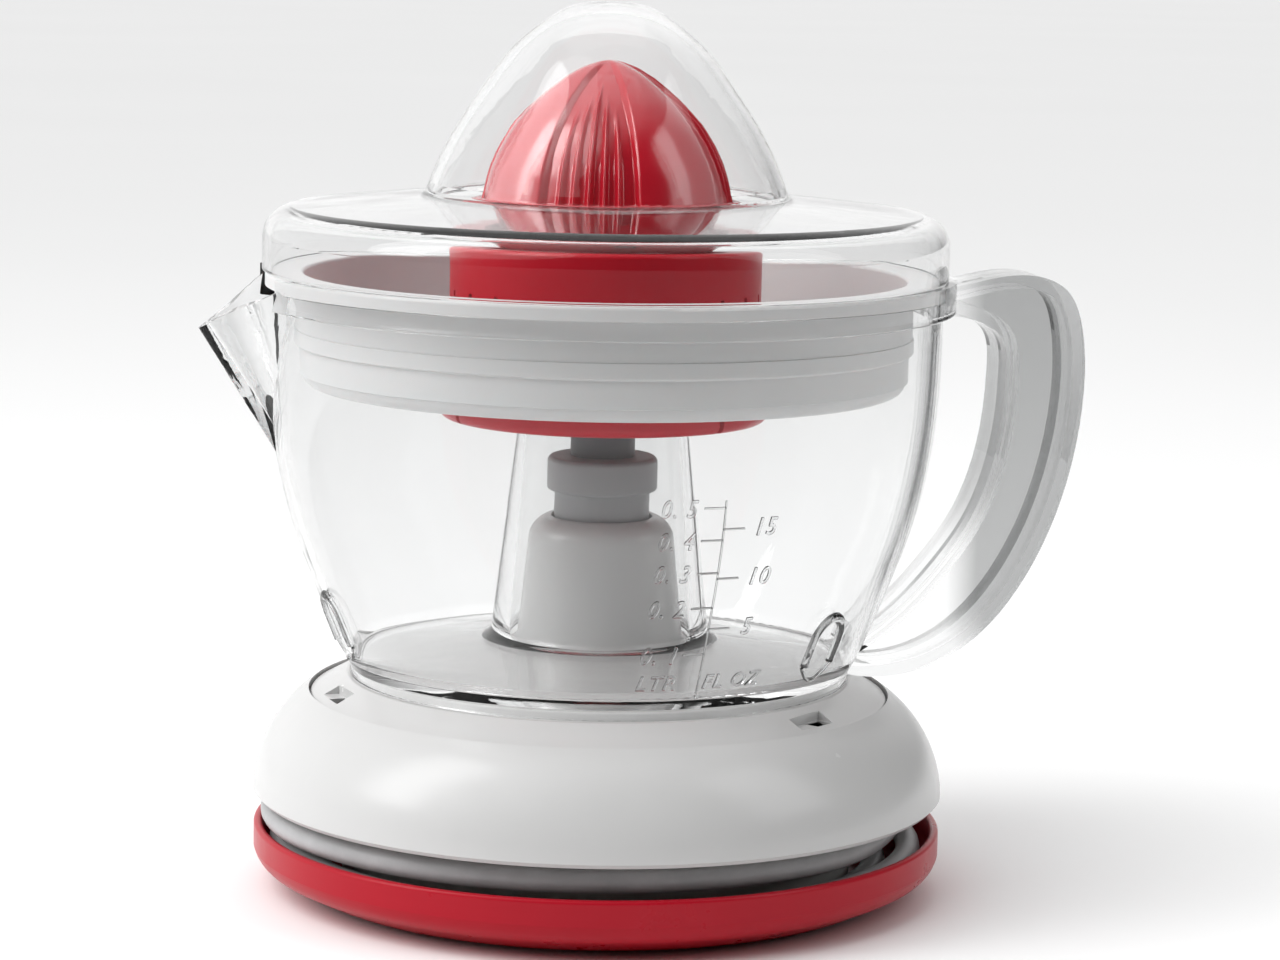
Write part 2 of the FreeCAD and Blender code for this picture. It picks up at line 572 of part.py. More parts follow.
def return_spring():
    """Coil spring between the gear hub and the clip: lifts the spindle when the fruit is taken away."""
    wire = 0.45
    mean_r = 5.5
    height = 56.95 - HUB_Z1 - 2 * wire
    helix = Part.makeHelix(height / 5, height, mean_r)
    section = Part.Wire(Part.makeCircle(wire, Vector(mean_r, 0, 0), Vector(0, 1, 0)))
    spring = Part.Wire(helix.Edges).makePipeShell([section], True, True)
    spring.translate(Vector(0, 0, HUB_Z1 + wire))
    return spring


def drive_coupling():
    """Grey collar on the spindle with a hexagonal socket for the reamer shaft."""
    body = turned((0, NECK_Z0), (NECK_R, NECK_Z0, 0.4), (NECK_R, COLLAR_Z0, 0.4),
                  (COLLAR_R, COLLAR_Z0, 0.8), (COLLAR_R, COLLAR_Z1, 1.2), (0, COLLAR_Z1))
    return body.cut([cylinder(SPINDLE_R + FIT, NECK_Z0, 91.0), hexagon(SOCKET_FLATS, SOCKET_Z0, COLLAR_Z1)])


def microswitch_body():
    """Start switch between the legs of the core, right under the spindle."""
    case = block(-8.0, 8.0, -4.0, 4.0, 17.0, 27.0)
    bracket = [block(-8.0, -6.0, -4.0, 4.0, 27.0, PLATE_Z0), block(6.0, 8.0, -4.0, 4.0, 27.0, PLATE_Z0)]
    return case.fuse(bracket).removeSplitter().cut(cylinder(1.75, 20.0, 27.0))


def switch_plunger():
    return cylinder(1.7, 22.8, SPINDLE_BOTTOM - 0.2)


# ================================================================ cord and plug
def cord_grommet():
    """Slanted rubber sleeve in the spool wall."""
    return grommet_rod(3.6, 6.0, 6.0).cut(grommet_rod(2.85, 7.0, 7.0))


def cord_end():
    """Last straight stretch of the cord, from the groove through the grommet to the clamp."""
    return grommet_rod(CORD_R, 26.0, 6.0)


def cord_clamp():
    """Bar that holds the end of the cord down on the chassis floor."""
    place, direction = grommet_frame()
    centre = place - direction * 17.0
    bar = block(-4.0, 4.0, -4.2, 4.2, CHASSIS_FLOOR_TOP, GROMMET_Z + 4.5)
    bar.rotate(ORIGIN, UP, GROMMET_ANGLE + 60.0)
    bar.translate(Vector(centre.x, centre.y, 0))
    return bar.cut(grommet_rod(CORD_R, 26.0, 0.0))


def lead_wires():
    """Two insulated wires from the cord to the switch and to a winding."""
    place, direction = grommet_frame()
    ends = [place - direction * along for along in (26.2, 30.0)]
    to_switch = [(end.x, end.y - LEAD_WIRE_R, 7.6) for end in ends]
    to_switch += [(-9.6, 33.0, 7.3), (-8.5, 12.0, 7.6), (-5.6, 1.5, 9.5), (-5.0, 0.0, 16.8)]
    to_winding = [(end.x, end.y + LEAD_WIRE_R, 9.4) for end in ends]
    to_winding += [(-12.6, 33.0, 7.4), (-13.0, 12.0, 7.5), (-14.5, -1.0, 8.4), (-15.0, COIL_Y1 + 0.3, 8.8)]
    return Part.makeCompound([rounded_tube(to_switch, LEAD_WIRE_R), rounded_tube(to_winding, LEAD_WIRE_R)])


def cord_coil():
    """Outer shape of the cord that is wound in the groove."""
    coil = turned((COIL_R_IN, 5.4, 1.5), (69.0, 4.2, 1.5), (COIL_R_OUT, 11.0, 2.5), (COIL_R_OUT, 19.8, 2.5),
                  (64.0, 19.8, 2.5), (COIL_R_IN, 13.0, 2.0))
    return coil.cut([grommet_rod(3.6, 6.0, 6.0), rounded_tube(TAIL_ROUTE[:4], CORD_R + 0.8)])


def cord_tail():
    """Free end of the cord: out of the groove at the back right, over the tray and down to the plug."""
    return rounded_tube(TAIL_ROUTE, CORD_R)


def along_plug(radius, x0, x1, y=PLUG_Y):
    return Part.makeCylinder(radius, x0 - x1, Vector(x0, y, PLUG_Z), Vector(-1, 0, 0))


def plug_boot():
    """Tapered strain relief between the cord and the plug."""
    return Part.makeCone(3.4, 5.4, BOOT_X0 - BOOT_X1, Vector(BOOT_X0, PLUG_Y, PLUG_Z), Vector(-1, 0, 0))


def mains_plug():
    """Flat two-pin plug body lying on the table."""
    half = PLUG_PIN_SPACING / 2 + 4.0
    corners = [Vector(BOOT_X1, PLUG_Y - 6.5, 0), Vector(BOOT_X1, PLUG_Y + 6.5, 0),
               Vector(BOOT_X1 - 14.0, PLUG_Y + half, 0), Vector(PLUG_X1, PLUG_Y + half, 0),
               Vector(PLUG_X1, PLUG_Y - half, 0), Vector(BOOT_X1 - 14.0, PLUG_Y - half, 0)]
    body = Part.Face(Part.makePolygon(corners + corners[:1])).extrude(Vector(0, 0, 2 * PLUG_Z))
    return body.makeFillet(3.0, body.Edges)


def plug_pins():
    pins = []
    for side in (-1, 1):
        y = PLUG_Y + side * PLUG_PIN_SPACING / 2
        shank = along_plug(PLUG_PIN_R, PLUG_X1, PLUG_X1 - PLUG_PIN_LENGTH + PLUG_PIN_R, y)
        tip = Part.makeSphere(PLUG_PIN_R, Vector(PLUG_X1 - PLUG_PIN_LENGTH + PLUG_PIN_R, y, PLUG_Z))
        pins.append(shank.fuse(tip).removeSplitter())
    return Part.makeCompound(pins)


# ================================================================ jug
def jug_inside_side():
    return inset(JUG_SIDE, -JUG_WALL)


def jug_middle():
    """Everything inside the middle of the jug's wall; what joins the jug from outside ends there."""
    side = [point for point in inset(JUG_SIDE, -JUG_WALL / 2) if point[1] > 54.0]
    return turned((0, 40.0), (FOOT_MIDDLE_R, 40.0), (FOOT_MIDDLE_R, 53.6), smooth(side),
                  (side[-1][0], RIM_MIDDLE_Z), (RIM_MIDDLE_R, RIM_MIDDLE_Z), (RIM_MIDDLE_R, 150.0),
                  (0, 150.0))


def jug_body():
    """Turned part of the jug: foot ring, dished floor, chimney for the drive, side wall and rim."""
    inside = [point for point in jug_inside_side() if point[1] > 54.5]
    foot_z = JUG_SEAT_Z + 0.1
    return turned((54.7, foot_z, 0.4), (56.7, foot_z, 0.4), (56.7, 50.6, 0.6), smooth(JUG_SIDE),
                  (75.8, 131.8), (JUG_RIM_R, JUG_RIM_Z0, 0.4), (JUG_RIM_R, JUG_RIM_Z1),
                  (JUG_LEDGE_R, JUG_RIM_Z1), (JUG_LEDGE_R, JUG_LEDGE_Z), (73.6, JUG_LEDGE_Z),
                  smooth(inside[::-1]), (54.4, 53.0, 1.5), (24.8, 57.6, 3.0),
                  (CHIMNEY_R_TOP, CHIMNEY_TOP, 0.7),
                  (CHIMNEY_R_TOP - CHIMNEY_WALL, CHIMNEY_TOP, 0.7), (CHIMNEY_R_BOTTOM - CHIMNEY_WALL, 56.6),
                  (CHIMNEY_R_BOTTOM - 0.4, 56.0, 1), (54.7, 51.0))


def spout_solid(shrink, top_lift):
    """A pointed cone of the spout: its mouth lies on a slant between the rim and the tip."""
    side_x = -JUG_LEDGE_R * math.cos(math.radians(SPOUT_HALF_ANGLE))
    side_y = JUG_LEDGE_R * math.sin(math.radians(SPOUT_HALF_ANGLE)) - shrink * 1.15
    tip_x = -SPOUT_TIP_X + shrink * 1.25
    slope = (JUG_RIM_Z1 - SPOUT_TIP_Z) / (SPOUT_TIP_X + side_x)

    def at(x, y):
        return Vector(x, y, SPOUT_TIP_Z + slope * (x + SPOUT_TIP_X))

    lip = [at(side_x, side_y), at(-80.0 + shrink * 0.4, side_y * 0.58), at(tip_x + 2.6, 3.4 - shrink * 0.5),
           at(tip_x, 0), at(tip_x + 2.6, -3.4 + shrink * 0.5), at(-80.0 + shrink * 0.4, -side_y * 0.58),
           at(side_x, -side_y)]
    curve = Part.BSplineCurve()
    curve.interpolate(Points=lip)
    back = 62.0
    corners = [lip[-1], at(-back, -side_y), at(-back, side_y), lip[0]]
    mouth = Part.Wire([curve.toShape()] + [Part.makeLine(a, b) for a, b in zip(corners, corners[1:])])
    root = Vector(-70.5 + shrink, 0, SPOUT_ROOT_Z + shrink * 2.2 - 6.0)
    funnel = Part.makeLoft([Part.Vertex(root), mouth], True, True)
    if top_lift:
        funnel = funnel.fuse(Part.Face(mouth).extrude(Vector(0, 0, top_lift)))
    return funnel


def handle_band(points, thickness, width):
    """A bent strip of the handle: it follows the points and is as thick as stated to their right."""
    near = smooth(points)
    far = smooth(inset(points, thickness)[::-1])
    strip = outline(near, far)
    strip.translate(Vector(0, -width / 2, 0))
    return strip.extrude(Vector(0, width, 0))


def handle():
    """H-section handle: a wide outer and inner flange joined by a thin web."""
    web = outline(smooth(HANDLE_OUTSIDE), smooth(HANDLE_INSIDE[::-1]))
    web.translate(Vector(0, -HANDLE_WEB / 2, 0))
    web = web.extrude(Vector(0, HANDLE_WEB, 0))
    outer = handle_band(HANDLE_OUTSIDE, HANDLE_FLANGE, HANDLE_WIDTH)
    inner = handle_band(HANDLE_INSIDE, -HANDLE_FLANGE, HANDLE_WIDTH)
    return web.fuse([outer, inner])


def jug():
    """Clear jug, one moulding with its handle and spout."""
    above_rim = cylinder(JUG_RIM_R + 10, JUG_RIM_Z1, 160.0)
    spout = spout_solid(0.0, 0.0).cut([jug_middle(), above_rim])
    whole = jug_body().fuse([spout, handle().cut(jug_middle())])
    return whole.cut(spout_solid(SPOUT_WALL, 16.0))


# ================================================================ basket and strainer
def pulp_basket():
    """Basket that hangs from the jug's rim, open in the middle for the strainer."""
    floor_top = BASKET_BOTTOM + 1.9
    neck_r = BASKET_R - 0.25
    return turned((74.6, 136.35), (BASKET_FLANGE_R, 136.35), (BASKET_FLANGE_R, BASKET_TOP, 0.8),
                  (67.6, BASKET_TOP, 0.8), (66.4, floor_top, 3.0), (BASKET_HOLE_R, floor_top),
                  (BASKET_HOLE_R, BASKET_BOTTOM), (68.2, BASKET_BOTTOM, 4.0), (68.2, 117.0), (68.5, 117.2),
                  (68.5, 123.2, 0.3), (BASKET_R, 123.6, 0.3), (BASKET_R, 126.9), (neck_r, 127.0),
                  (neck_r, 137.2), (74.6, 137.2))


def strainer_dome():
    """Red drum of the strainer: slotted side wall, closed top with a wide mouth for the reamer."""
    inner_r = STRAINER_R - STRAINER_WALL
    ceiling = STRAINER_TOP - STRAINER_WALL
    lip_r = STRAINER_MOUTH_R + 1.4
    drum = turned((inner_r, 113.8), (STRAINER_R, 113.8), (STRAINER_R, 116.1), (38.6, 116.1), (38.6, 117.3),
                  (STRAINER_R, 117.3), (STRAINER_R, STRAINER_TOP, 1.6),
                  (STRAINER_MOUTH_R, STRAINER_TOP, 0.5), (STRAINER_MOUTH_R, 143.0), (lip_r, 143.0),
                  (lip_r, ceiling), (inner_r, ceiling, 1.0))
    slot = block(inner_r - 1, STRAINER_R + 1, -0.6, 0.6, 119.0, 136.0)
    return drum.cut(ring_of(slot, evenly(24, 7.5)))


def pulp_ring():
    """Red ring under the basket that holds the strainer, cut through from below by four slots."""
    inner_r = PULP_RING_R - 3.6
    groove_r = PULP_RING_R - 1.6
    ring = turned((inner_r, 108.4), (inner_r, PULP_RING_Z0), (PULP_RING_R, PULP_RING_Z0, 2.0),
                  (PULP_RING_R, PULP_RING_Z1), (inner_r, PULP_RING_Z1), (inner_r, 112.0), (groove_r, 112.0),
                  (groove_r, 108.4))
    slot = block(inner_r - 1, PULP_RING_R + 1, -0.75, 0.75, PULP_RING_Z0 - 1, PULP_RING_Z1 - 0.8)
    return ring.cut(ring_of(slot, PULP_RING_SLOTS))


# ================================================================ reamer
def reamer_shaft():
    """Dark shaft under the reamer hub: hexagonal key below, round above."""
    key = hexagon(KEY_FLATS, SOCKET_Z0 + 0.6, COLLAR_Z1 + 0.4)
    return key.fuse(cylinder(REAMER_SHAFT_R, COLLAR_Z1 + 0.1, CORE_TOP)).removeSplitter()


def reamer_core():
    """Hub of the reamer: sleeve, bowl and the small cone that the large cone covers."""
    core = turned((REAMER_SHAFT_R, 112.0), (10.2, 112.0, 0.6), (11.4, 146.2, 2), (23.4, 147.6, 1.0),
                  (26.0, 153.2, 0.5), (23.0, 153.6), smooth(CORE_SIDE, level_end=True), (0, CORE_TOP),
                  (REAMER_SHAFT_R, CORE_TOP))
    notch = block(21.0, 27.0, -2.3, 2.3, 150.6, 154.5)
    return core.cut(ring_of(notch, LUG_ANGLES))


def cone_lobes():
    """The four broad smooth lobes of the large cone: sectors of its outer shape and a round tip."""
    foot = CONE_FLANGE_Z0 + 0.4
    full = turned((0.0, foot), (CONE_SIDE[0][0], foot), smooth(CONE_SIDE, level_end=True))
    sector = Part.makeCylinder(40.0, 50.0, Vector(0, 0, 150.0), UP, LOBE_WIDTH)
    sectors = ring_of(sector, [angle - LOBE_WIDTH / 2 for angle in LOBE_ANGLES])
    return [full.common(part) for part in sectors + [cylinder(CONE_TIP_R, 150.0, 190.0)]]


def cone_rib():
    """One upright rib in a valley: a thin plate that ends a little inside the lobes' surface."""
    side = [(x - 0.5, z) for x, z in CONE_SIDE[:4]] + [(10.6, 180.4)]
    foot = CONE_FLANGE_Z0 + 0.4
    plate = outline(smooth(side), (2.0, side[-1][1]), (2.0, foot), (side[0][0], foot))
    plate.translate(Vector(0, -RIB_THICKNESS / 2, 0))
    return plate.extrude(Vector(0, RIB_THICKNESS, 0))


def reamer_cone():
    """Large cone over the hub: lobes with ribbed valleys, a thin flange and lugs that key it to the hub."""
    lining = inset(CONE_VALLEY, -CONE_WALL)
    lining = [(lining[0][0], CONE_FLANGE_Z0)] + lining[1:-1] + [(0.0, CONE_VALLEY[-1][1] - CONE_WALL)]
    body = turned((0.0, CONE_FLANGE_Z0), (CONE_FLANGE_R, CONE_FLANGE_Z0, 0.4),
                  (CONE_FLANGE_R, CONE_FLANGE_Z1, 0.4), smooth(CONE_VALLEY, level_end=True))
    ribs = ring_of(cone_rib(), [angle + 45.0 + turn for angle in LOBE_ANGLES for turn in VALLEY_RIBS])
    hollow = turned((0, 150.0), (lining[0][0], 150.0), smooth(lining, level_end=True))
    lug = block(22.2, 25.6, -2.0, 2.0, 151.0, 155.0)
    return body.fuse(cone_lobes() + ribs).cut(hollow).fuse(ring_of(lug, LUG_ANGLES))


# ================================================================ lid
def lid():
    """Clear lid: skirt, gently sloping plate and tall dome."""
    inner = inset(DOME_SIDE, -LID_WALL)
    inner = inner[:-1] + [(0.0, DOME_SIDE[-1][1] - LID_WALL)]
    return turned((LID_R - LID_WALL, LID_BOTTOM), (LID_R, LID_BOTTOM, 0.3), (LID_R, 153.2, 7.0),
                  (40.9, 157.0, 1.5), smooth(DOME_SIDE, level_end=True),
                  smooth(inner[::-1], level_start=True), (39.2, 155.1, 1.0), (LID_R - LID_WALL, 151.3, 5.0))


PIECES = {
    "bottom_tray": bottom_tray,
    "foot_ring": foot_ring,
    "tray_screws": tray_screws,
    "cord_spool": cord_spool,
    "base_housing": base_housing,
    "top_deck": top_deck,
    "housing_screws": housing_screws,
    "stator_core": stator_core,
    "coil_bobbin_right": lambda: coil_bobbin(1),
    "coil_bobbin_left": lambda: coil_bobbin(-1),
    "winding_right": lambda: winding(1),
    "winding_left": lambda: winding(-1),
    "rotor_magnet": rotor_magnet,
    "rotor_shaft": rotor_shaft,
    "rotor_pinion": rotor_pinion,
    "rotor_bush_lower": rotor_bush_lower,
    "rotor_bush_upper": rotor_bush_upper,
    "gearbox_plate": gearbox_plate,
    "gearbox_screws": gearbox_screws,
    "gearbox_cover": gearbox_cover,
    "cover_screws": cover_screws,
    "idler_axle": idler_axle,
    "idler_gear": idler_gear,
    "drive_gear": drive_gear,
    "spindle_shaft": spindle_shaft,
    "spindle_foot_bush": spindle_foot_bush,
    "spindle_bush_lower": lambda: spindle_bush(SLEEVE_BOTTOM),
    "spindle_bush_upper": lambda: spindle_bush(WELL_FLOOR - 6.0),
    "thrust_washer": thrust_washer,
    "spindle_seal": spindle_seal,
    "spindle_clip": spindle_clip,
    "return_spring": return_spring,
    "drive_coupling": drive_coupling,
    "microswitch_body": microswitch_body,
    "switch_plunger": switch_plunger,
    "cord_grommet": cord_grommet,
    "cord_end": cord_end,
    "cord_clamp": cord_clamp,
    "lead_wires": lead_wires,
    "cord_coil": cord_coil,
    "cord_tail": cord_tail,
    "plug_boot": plug_boot,
    "mains_plug": mains_plug,
    "plug_pins": plug_pins,
    "jug": jug,
    "pulp_basket": pulp_basket,
    "strainer_dome": strainer_dome,
    "pulp_ring": pulp_ring,
    "reamer_shaft": reamer_shaft,
    "reamer_core": reamer_core,
    "reamer_cone": reamer_cone,
    "lid": lid,
}

os.makedirs("parts", exist_ok=True)
for name, make in PIECES.items():
    shape = make()
    if not shape.isValid():
        print("not valid:", name)
    shape.exportStep("parts/" + name + ".step")
    print(name, len(shape.Solids), "solids", round(shape.Volume / 1000, 2), "cm3")
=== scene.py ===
"""Looks of the citrus press: cord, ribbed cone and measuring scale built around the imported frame, and a
finish for every piece. Metres; the spindle axis is Z, the handle points to +X and the front to -Y."""

import math

import bpy
from mathutils import Matrix, Vector
from mathutils.bvhtree import BVHTree


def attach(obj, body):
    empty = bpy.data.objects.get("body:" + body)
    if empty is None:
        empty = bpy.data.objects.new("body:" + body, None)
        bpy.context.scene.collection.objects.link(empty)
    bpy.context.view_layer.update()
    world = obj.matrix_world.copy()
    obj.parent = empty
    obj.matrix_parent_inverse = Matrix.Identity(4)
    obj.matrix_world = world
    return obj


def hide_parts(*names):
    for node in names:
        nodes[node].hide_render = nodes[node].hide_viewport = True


MM = 0.001

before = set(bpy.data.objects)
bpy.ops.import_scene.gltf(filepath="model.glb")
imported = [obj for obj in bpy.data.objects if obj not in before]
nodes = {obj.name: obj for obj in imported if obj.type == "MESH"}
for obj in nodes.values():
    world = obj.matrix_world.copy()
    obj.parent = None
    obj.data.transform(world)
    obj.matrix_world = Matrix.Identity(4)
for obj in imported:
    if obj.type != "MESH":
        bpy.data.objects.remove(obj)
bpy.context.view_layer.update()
scene = bpy.context.scene
scene.view_settings.view_transform = "Standard"


def link(name, data):
    piece = bpy.data.objects.new(name, data)
    scene.collection.objects.link(piece)
    return piece


def polar(radius, angle, z=0.0):
    return Vector((radius * math.cos(math.radians(angle)), radius * math.sin(math.radians(angle)), z))


def mix(a, b, share):
    return a + (b - a) * share


def ease(share):
    """0 to 1 with a soft start and end."""
    return share * share * (3 - 2 * share)


def between(stations, at):
    """Smoothly blended values of a table of (place, value, ...) rows."""
    if at <= stations[0][0]:
        return stations[0][1:]
    for low, high in zip(stations, stations[1:]):
        if at <= high[0]:
            share = ease((at - low[0]) / (high[0] - low[0]))
            return tuple(mix(a, b, share) for a, b in zip(low[1:], high[1:]))
    return stations[-1][1:]


# ---------------------------------------------------------------- camera
CAMERA_DISTANCE, CAMERA_HEIGHT, CAMERA_AZIMUTH = 0.860, 0.2173, -9.5
CAMERA_PITCH, CAMERA_ROLL, CAMERA_YAW = 8.25, 1.1, 0.57
LENS, SENSOR = 108.0, 36.0
FRONT = 270.0


def make_camera():
    """The camera stands at the spout's side of the front and looks a little down."""
    data = bpy.data.cameras.new("camera")
    data.lens = LENS
    data.sensor_width = SENSOR
    camera = link("camera", data)
    place = polar(CAMERA_DISTANCE, FRONT + CAMERA_AZIMUTH, CAMERA_HEIGHT)
    heading = Matrix.Rotation(math.radians(CAMERA_AZIMUTH - CAMERA_YAW), 4, "Z")
    pitch = Matrix.Rotation(math.radians(90.0 - CAMERA_PITCH), 4, "X")
    roll = Matrix.Rotation(math.radians(CAMERA_ROLL), 4, "Z")
    camera.matrix_world = Matrix.Translation(place) @ heading @ pitch @ roll
    scene.camera = camera


# ---------------------------------------------------------------- floor and light
FLOOR_RINGS = (0.0005, 0.3, 2.0, 8.0, 40.0)
FLOOR_STEPS = 96
# Painted shade: the floor turns from pale paper to grey towards the camera, between these two Y places in
# metres.
FLOOR_PAINTED_SHADE_SPAN = (-1.1, -0.2)
FLOOR_PAPER = ((0.90, 0.90, 0.90), (0.93, 0.93, 0.93))
FLOOR_PAINTED_SHADE = (0.38, 0.38, 0.38)


def strip(here, there, count):
    """The faces between two neighbouring rows of a turned mesh."""
    return [(here + j, there + j, there + j + 1, here + j + 1) for j in range(count - 1)]


def smooth_mesh(name, points, faces):
    mesh = bpy.data.meshes.new(name)
    mesh.from_pydata(points, [], faces)
    mesh.polygons.foreach_set("use_smooth", [True] * len(faces))
    mesh.update()
    return mesh


def turned_mesh(name, profile, steps):
    """A mesh of the (radius, height) profile turned once round the spindle axis."""
    points = []
    faces = []
    count = len(profile)
    for i in range(steps):
        angle = 360.0 * i / steps
        points += [polar(radius, angle, z) for radius, z in profile]
    for i in range(steps):
        faces += strip(i * count, (i + 1) % steps * count, count)
    return smooth_mesh(name, points, faces)


def area_light(name, place, aim, width, height, power):
    """A softbox that points at a height on the spindle axis."""
    data = bpy.data.lights.new(name, "AREA")
    data.shape = "RECTANGLE"
    data.size, data.size_y = width, height
    data.energy = power
    light = link(name, data)
    light.location = place
    light.rotation_euler = (Vector((0, 0, aim)) - place).to_track_quat("-Z", "Y").to_euler()


SKY_BRIGHT_WAY = (-0.45, 0.62, 0.64)
SKY_DARK, SKY_BRIGHT = 0.03, 1.02
SKY_TURN = (0.02, 0.60)
SUN_POWER = 1.05
SUN_WAY = (0.62, 0.30, -0.80)
SUN_SPREAD = 50.0
# name, place, height it points at, width, height, power
SOFTBOXES = [
    ("left_softbox", polar(0.86, 187.0, 0.78), 0.12, 0.42, 0.95, 5.4),
    ("right_softbox", polar(0.90, 330.0, 0.74), 0.12, 0.55, 0.85, 2.9),
    ("top_softbox", Vector((0.0, 0.35, 1.3)), 0.1, 1.0, 0.7, 1.0),
]


def make_sky():
    """Soft light from all round: bright behind, above and to the left, dark on the camera's side."""
    world = bpy.data.worlds.new("studio")
    world.use_nodes = True
    tree = world.node_tree
    place = tree.nodes.new("ShaderNodeTexCoord")
    facing = tree.nodes.new("ShaderNodeVectorMath")
    facing.operation = "DOT_PRODUCT"
    facing.inputs[1].default_value = SKY_BRIGHT_WAY
    ramp = tree.nodes.new("ShaderNodeMapRange")
    ramp.interpolation_type = "SMOOTHSTEP"
    for socket, value in zip(ramp.inputs[1:5], (*SKY_TURN, SKY_DARK, SKY_BRIGHT)):
        socket.default_value = value
    tree.links.new(place.outputs["Generated"], facing.inputs[0])
    tree.links.new(facing.outputs["Value"], ramp.inputs["Value"])
    tree.links.new(ramp.outputs["Result"], tree.nodes["Background"].inputs["Strength"])
    tree.nodes["Background"].inputs["Color"].default_value = (1.0, 1.0, 1.0, 1.0)
    scene.world = world


def make_studio():
    """A wide pale floor with painted shade on the camera's side, a broad key light from the upper left front,
    and softboxes for the reflections.
    """
    floor = link("floor", turned_mesh("floor", [(radius, 0.0) for radius in FLOOR_RINGS], FLOOR_STEPS))
    floor.data.materials.append(floor_finish())
    make_sky()
    sun = bpy.data.lights.new("broad_key", "SUN")
    sun.energy = SUN_POWER
    sun.angle = math.radians(SUN_SPREAD)
    light = link("broad_key", sun)
    light.visible_glossy = False
    light.rotation_euler = Vector(SUN_WAY).to_track_quat("-Z", "Y").to_euler()
    for softbox in SOFTBOXES:
        area_light(*softbox)


# ---------------------------------------------------------------- finishes
class Finish:
    """Builds one material's nodes on the object's own coordinates, in metres."""

    def __init__(self, name):
        self.material = bpy.data.materials.new(name)
        self.material.use_nodes = True
        self.tree = self.material.node_tree
        self.shader = self.tree.nodes["Principled BSDF"]
        self.output = self.tree.nodes["Material Output"]
        self.place = self.node("ShaderNodeTexCoord").outputs["Object"]

    def node(self, kind, **settings):
        node = self.tree.nodes.new(kind)
        for key, value in settings.items():
            setattr(node, key, value)
        return node

    def join(self, source, target):
        self.tree.links.new(source, target)

    def fill(self, node, **values):
        for key, value in values.items():
            socket = node.inputs[key.replace("_", " ")]
            if isinstance(value, bpy.types.NodeSocket):
                self.join(value, socket)
            else:
                socket.default_value = value
        return node

    def stretched(self, scale):
        """The object's coordinates, scaled along each axis."""
        return self.fill(self.node("ShaderNodeMapping"), Vector=self.place, Scale=scale).outputs["Vector"]

    def noise(self, scale, detail=2.0, roughness=0.5, vector=None):
        node = self.node("ShaderNodeTexNoise")
        self.fill(node, Vector=vector or self.place, Scale=scale, Detail=detail, Roughness=roughness)
        return node.outputs["Fac"]

    def ranged(self, value, low, high, to_low, to_high):
        node = self.node("ShaderNodeMapRange")
        node.clamp = True
        for socket, entry in zip(node.inputs, (None, low, high, to_low, to_high)):
            if entry is not None:
                socket.default_value = entry
        self.join(value, node.inputs["Value"])
        return node.outputs["Result"]

    def maths(self, operation, a, b):
        node = self.node("ShaderNodeMath", operation=operation)
        for socket, value in zip(node.inputs, (a, b)):
            if isinstance(value, bpy.types.NodeSocket):
                self.join(value, socket)
            else:
                socket.default_value = value
        return node.outputs["Value"]

    def blend(self, share, a, b):
        """A colour between a and b."""
        node = self.node("ShaderNodeMix", data_type="RGBA")
        self.join(share, node.inputs["Factor"])
        for socket, colour in ((node.inputs[6], a), (node.inputs[7], b)):
            if isinstance(colour, bpy.types.NodeSocket):
                self.join(colour, socket)
            else:
                socket.default_value = (*colour, 1.0)
        return node.outputs[2]

    def bump(self, height, distance, strength=1.0, normal=None):
        node = self.node("ShaderNodeBump")
        self.fill(node, Height=height, Distance=distance, Strength=strength)
        if normal is not None:
            self.join(normal, node.inputs["Normal"])
        return node.outputs["Normal"]

    def use(self, **values):
        self.fill(self.shader, **values)
        return self


def shade(colour, factor):
    return tuple(min(1.0, c * factor) for c in colour)


def moulded(name, colour, roughness, grain=0.000006, depth=0.0, coat=0.0, vary=0.05, shine=0.5):
    """Injection-moulded plastic: faint flow clouds in its colour, slightly uneven gloss, and a fine skin."""
    finish = Finish(name)
    flow = finish.noise(22.0, 3.0, 0.55, finish.stretched((1.0, 1.0, 0.45)))
    share = finish.ranged(flow, 0.3, 0.7, 0.0, 1.0)
    body = finish.blend(share, shade(colour, 1 - vary), shade(colour, 1 + vary))
    clouds = finish.noise(110.0, 4.0, 0.6)
    skin = finish.noise(2600.0, 2.0, 0.5)
    ripple = finish.noise(60.0, 1.0, 0.4)
    normal = finish.bump(ripple, 0.00004, 0.3)
    normal = finish.bump(skin, grain, 1.0, normal)
    gloss = finish.ranged(clouds, 0.3, 0.75, roughness * 0.88, roughness * 1.15)
    finish.use(Base_Color=body, Roughness=gloss, IOR=1.5, Normal=normal)
    finish.use(Coat_Weight=coat, Coat_Roughness=0.14, Subsurface_Weight=depth, Specular_IOR_Level=shine)
    finish.shader.inputs["Subsurface Radius"].default_value = (1.0, 0.6, 0.5)
    finish.shader.inputs["Subsurface Scale"].default_value = 0.002
    return finish.material


